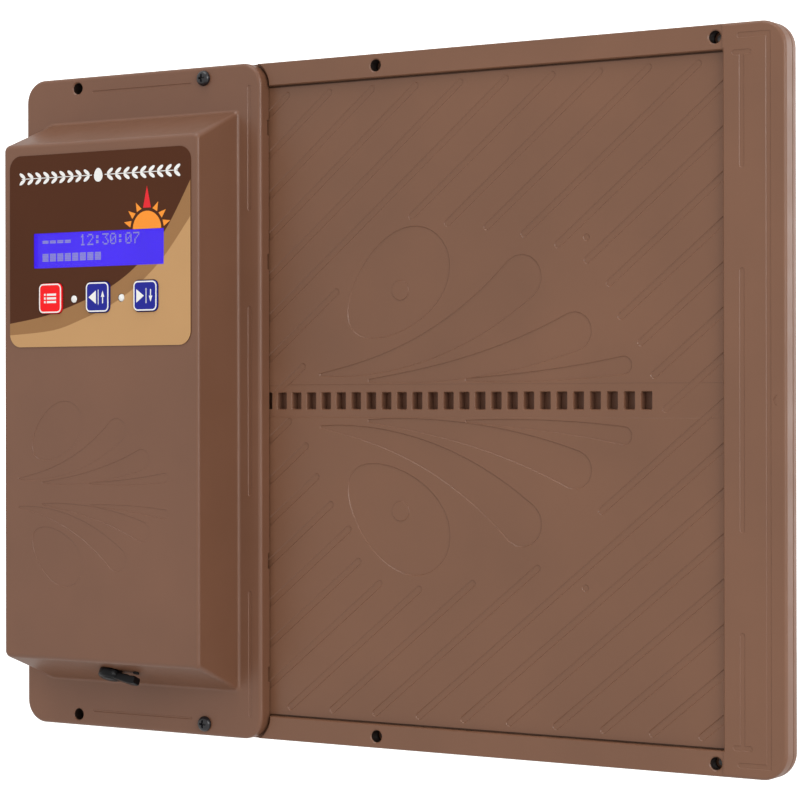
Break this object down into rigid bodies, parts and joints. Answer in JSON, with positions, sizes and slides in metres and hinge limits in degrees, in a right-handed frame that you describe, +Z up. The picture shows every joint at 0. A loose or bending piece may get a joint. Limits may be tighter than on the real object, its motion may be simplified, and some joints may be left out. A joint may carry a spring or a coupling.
{
  "type": "automatic coop door",
  "caption": "Sideways sliding poultry-coop door in a flat frame, driven by a rack and pinion from a control box with a display and push buttons.",
  "frame": {"origin": "centre of the closed door's bounding box", "axes": "+X to the viewer's right along the door's travel line (the door opens towards -X), +Y into the coop wall, +Z up"},
  "size_m": [0.336, 0.0376, 0.262],
  "materials": {
    "frame_plastic": "brown moulded ABS, satin gloss",
    "housing_plastic": "brown moulded ABS, satin gloss",
    "panel_plastic": "brown moulded ABS, satin gloss, fine moulded lines",
    "label_print": "printed film, dark brown with two tan bands",
    "window_clear": "clear acrylic pane",
    "display_blue": "blue backlit character display",
    "button_red": "red cap with a white menu symbol",
    "button_blue": "dark blue cap with white arrow symbols",
    "white_plastic": "white moulded plastic",
    "black_plastic": "black moulded plastic",
    "rubber": "black soft rubber",
    "circuit_board": "green solder mask",
    "steel": "plain zinc-plated steel",
    "black_steel": "blackened steel",
    "brass": "plain brass"
  },
  "bodies": {
    "frame": {"rear_frame": "frame_plastic", "front_frame": "frame_plastic", "frame_screw_1": "black_steel", "frame_screw_2": "black_steel", "frame_screw_3": "black_steel", "frame_screw_4": "black_steel", "housing": "housing_plastic", "flange_screw_top": "black_steel", "flange_screw_bottom": "black_steel", "back_cover": "housing_plastic", "cover_gasket": "rubber", "cover_screw_1": "steel", "cover_screw_2": "steel", "cover_screw_3": "steel", "cover_screw_4": "steel", "label_overlay": "label_print", "display_window": "window_clear", "switch_menu": "steel", "switch_open": "steel", "switch_close": "steel", "indicator_left": "white_plastic", "indicator_right": "white_plastic", "display_bezel": "black_steel", "display_glass": "display_blue", "display_backlight": "white_plastic", "display_board": "circuit_board", "display_header": "black_plastic", "main_board": "circuit_board", "controller_chip": "black_plastic", "driver_chip": "black_plastic", "motor_connector": "white_plastic", "power_connector": "white_plastic", "clock_cell_holder": "black_plastic", "clock_cell": "steel", "board_screw_1": "steel", "board_screw_2": "steel", "shaft_bush": "brass", "gearbox": "brass", "motor_can": "steel", "motor_end_cap": "black_plastic", "motor_bracket": "white_plastic", "bracket_screw_right": "steel", "bracket_screw_left": "steel", "power_socket": "black_plastic", "power_pin": "brass", "port_cap_anchor": "rubber", "motor_lead": "rubber", "power_lead": "rubber"},
    "door": {"door_panel": "panel_plastic"},
    "drive_pinion": {"pinion": "white_plastic", "pinion_set_screw": "black_steel", "drive_shaft": "steel", "shaft_clip": "black_steel"},
    "menu_button": {"button_menu": "button_red", "plunger_menu": "black_plastic"},
    "open_button": {"button_open": "button_blue", "plunger_open": "black_plastic"},
    "close_button": {"button_close": "button_blue", "plunger_close": "black_plastic"},
    "port_flap": {"port_cap": "rubber"}
  },
  "joints": [
    {"name": "door_slide", "type": "slide", "parent": "frame", "child": "door", "axis": [-1, 0, 0], "range_m": [0, 0.202]},
    {"name": "pinion_spin", "type": "hinge", "parent": "frame", "child": "drive_pinion", "pos_m": [-0.0928, 0.0022, 0], "axis": [0, 0, 1], "range_deg": [0, 1066]},
    {"name": "menu_press", "type": "slide", "parent": "frame", "child": "menu_button", "axis": [0, 1, 0], "range_m": [0, 0.0005], "stiffness_N_per_m": 1200, "springref_m": -0.0004},
    {"name": "open_press", "type": "slide", "parent": "frame", "child": "open_button", "axis": [0, 1, 0], "range_m": [0, 0.0005], "stiffness_N_per_m": 1200, "springref_m": -0.0004},
    {"name": "close_press", "type": "slide", "parent": "frame", "child": "close_button", "axis": [0, 1, 0], "range_m": [0, 0.0005], "stiffness_N_per_m": 1200, "springref_m": -0.0004},
    {"name": "port_flap_hinge", "type": "hinge", "parent": "frame", "child": "port_flap", "pos_m": [-0.099, -0.00876, -0.10788], "axis": [0, -0.9163, 0.4004], "range_deg": [0, 100]}
  ],
  "couplings": [
    {"joint": "pinion_spin", "follows": "door_slide", "rad_per_m": 91.592}
  ]
}
